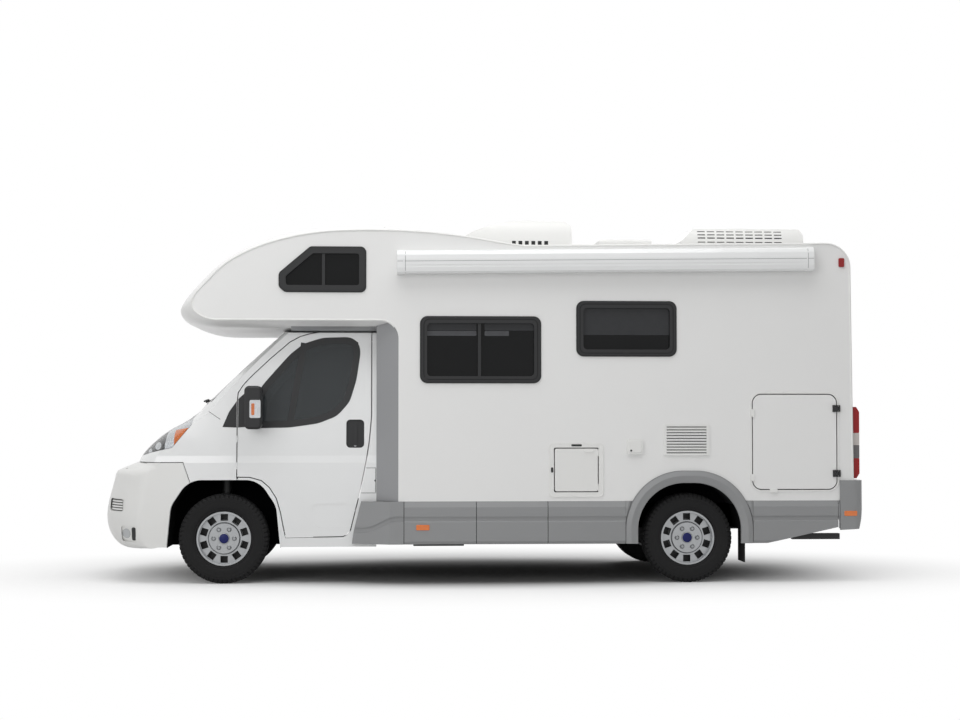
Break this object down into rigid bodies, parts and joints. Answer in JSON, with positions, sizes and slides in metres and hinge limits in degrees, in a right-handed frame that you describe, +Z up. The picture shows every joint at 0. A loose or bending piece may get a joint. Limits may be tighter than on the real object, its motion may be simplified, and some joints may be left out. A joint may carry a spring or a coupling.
{
  "type": "motorhome with a bed over the cab",
  "caption": "Coachbuilt motorhome with an over-cab bed: van cab with steered front wheels, hollow living body, hinged doors, hatches, bonnet and roof vent.",
  "frame": {"origin": "on the ground below the middle of the whole vehicle's bounding box", "axes": "+X along the vehicle towards its rear, +Y towards its right side, +Z up"},
  "size_m": [6.2842, 2.6, 3.066],
  "materials": {
    "white_paint": "gloss",
    "white_grp": "gloss",
    "white_plastic": "satin",
    "grey_moulding": "satin",
    "silver_paint": "metallic",
    "black_plastic": "matte",
    "tinted_glass": "polished",
    "clear_glass": "polished",
    "lamp_lens": "polished",
    "red_lens": "polished",
    "chassis_steel": "satin",
    "bare_steel": "cast",
    "cast_metal": "cast",
    "wheel_paint": "metallic",
    "tyre_rubber": "matte",
    "flap_rubber": "matte",
    "seat_fabric": "woven"
  },
  "bodies": {
    "vehicle": {"air_conditioners": "white_plastic", "alcove_cap": "white_grp", "awning_case": "white_paint", "cab_seats": "seat_fabric", "cab_shell": "white_paint", "cab_surround": "silver_paint", "chassis_frame": "chassis_steel", "corner_steadies": "bare_steel", "dashboard": "black_plastic", "engine_block": "cast_metal", "exhaust_system": "bare_steel", "floor_panel": "black_plastic", "front_bumper": "white_plastic", "front_grille": "black_plastic", "front_subframe": "chassis_steel", "front_wings": "white_paint", "headlamps": "lamp_lens", "mud_flaps": "flap_rubber", "rear_arch_trims": "grey_moulding", "rear_axle": "chassis_steel", "rear_bumper": "grey_moulding", "rear_lamps": "red_lens", "rear_wall": "white_grp", "roof_panel": "white_grp", "roof_vent_frame": "white_plastic", "side_skirts": "grey_moulding", "side_wall_left": "white_grp", "side_wall_right": "white_grp", "wall_fittings": "white_plastic", "window_frames": "black_plastic", "window_panes": "tinted_glass", "windscreen": "clear_glass"},
    "bonnet": {"bonnet": "white_paint"},
    "cab_door_left": {"cab_door_left": "white_paint", "cab_door_glass_left": "clear_glass", "cab_door_handle_left": "black_plastic", "mirror_left": "black_plastic"},
    "cab_door_right": {"cab_door_right": "white_paint", "cab_door_glass_right": "clear_glass", "cab_door_handle_right": "black_plastic", "mirror_right": "black_plastic"},
    "entry_door": {"entry_door": "white_paint", "entry_door_pane": "tinted_glass"},
    "garage_door": {"garage_door": "white_grp"},
    "toilet_door": {"toilet_door": "white_plastic"},
    "roof_vent_lid": {"roof_vent_lid": "white_plastic"},
    "knuckle_left": {"knuckle_left": "cast_metal"},
    "knuckle_right": {"knuckle_right": "cast_metal"},
    "wheel_front_left": {"rim_front_left": "wheel_paint", "tyre_front_left": "tyre_rubber"},
    "wheel_front_right": {"rim_front_right": "wheel_paint", "tyre_front_right": "tyre_rubber"},
    "wheel_rear_left": {"rim_rear_left": "wheel_paint", "tyre_rear_left": "tyre_rubber"},
    "wheel_rear_right": {"rim_rear_right": "wheel_paint", "tyre_rear_right": "tyre_rubber"}
  },
  "joints": [
    {"name": "steer_left", "type": "hinge", "parent": "vehicle", "child": "knuckle_left", "pos_m": [-2.11, -0.745, 0.365], "axis": [0, 0, 1], "range_deg": [-33, 33]},
    {"name": "steer_right", "type": "hinge", "parent": "vehicle", "child": "knuckle_right", "pos_m": [-2.11, 0.745, 0.365], "axis": [0, 0, 1], "range_deg": [-33, 33]},
    {"name": "spin_front_left", "type": "hinge", "parent": "knuckle_left", "child": "wheel_front_left", "pos_m": [-2.11, -0.895, 0.365], "axis": [0, 1, 0], "continuous": true},
    {"name": "spin_front_right", "type": "hinge", "parent": "knuckle_right", "child": "wheel_front_right", "pos_m": [-2.11, 0.895, 0.365], "axis": [0, 1, 0], "continuous": true},
    {"name": "spin_rear_left", "type": "hinge", "parent": "vehicle", "child": "wheel_rear_left", "pos_m": [1.69, -0.985, 0.365], "axis": [0, 1, 0], "continuous": true},
    {"name": "spin_rear_right", "type": "hinge", "parent": "vehicle", "child": "wheel_rear_right", "pos_m": [1.69, 0.985, 0.365], "axis": [0, 1, 0], "continuous": true},
    {"name": "cab_door_left", "type": "hinge", "parent": "vehicle", "child": "cab_door_left", "pos_m": [-2.003, -1.033, 1.2], "axis": [0, 0, -1], "range_deg": [0, 70]},
    {"name": "cab_door_right", "type": "hinge", "parent": "vehicle", "child": "cab_door_right", "pos_m": [-2.003, 1.033, 1.2], "axis": [0, 0, 1], "range_deg": [0, 70]},
    {"name": "bonnet_hinge", "type": "hinge", "parent": "vehicle", "child": "bonnet", "pos_m": [-2.308, 0, 1.463], "axis": [0, 1, 0], "range_deg": [0, 60]},
    {"name": "entry_door_hinge", "type": "hinge", "parent": "vehicle", "child": "entry_door", "pos_m": [-0.319, 1.168, 1.5], "axis": [0, 0, 1], "range_deg": [0, 100]},
    {"name": "garage_door_hinge", "type": "hinge", "parent": "vehicle", "child": "garage_door", "pos_m": [2.917, -1.168, 1.15], "axis": [0, 0, 1], "range_deg": [0, 110]},
    {"name": "toilet_door_hinge", "type": "hinge", "parent": "vehicle", "child": "toilet_door", "pos_m": [0.941, -1.156, 0.93], "axis": [0, 0, 1], "range_deg": [0, 110]},
    {"name": "roof_vent_hinge", "type": "hinge", "parent": "vehicle", "child": "roof_vent_lid", "pos_m": [1.532, 0, 2.866], "axis": [0, 1, 0], "range_deg": [0, 60]}
  ],
  "couplings": [
    {"joint": "steer_right", "follows": "steer_left", "ratio": 1}
  ]
}
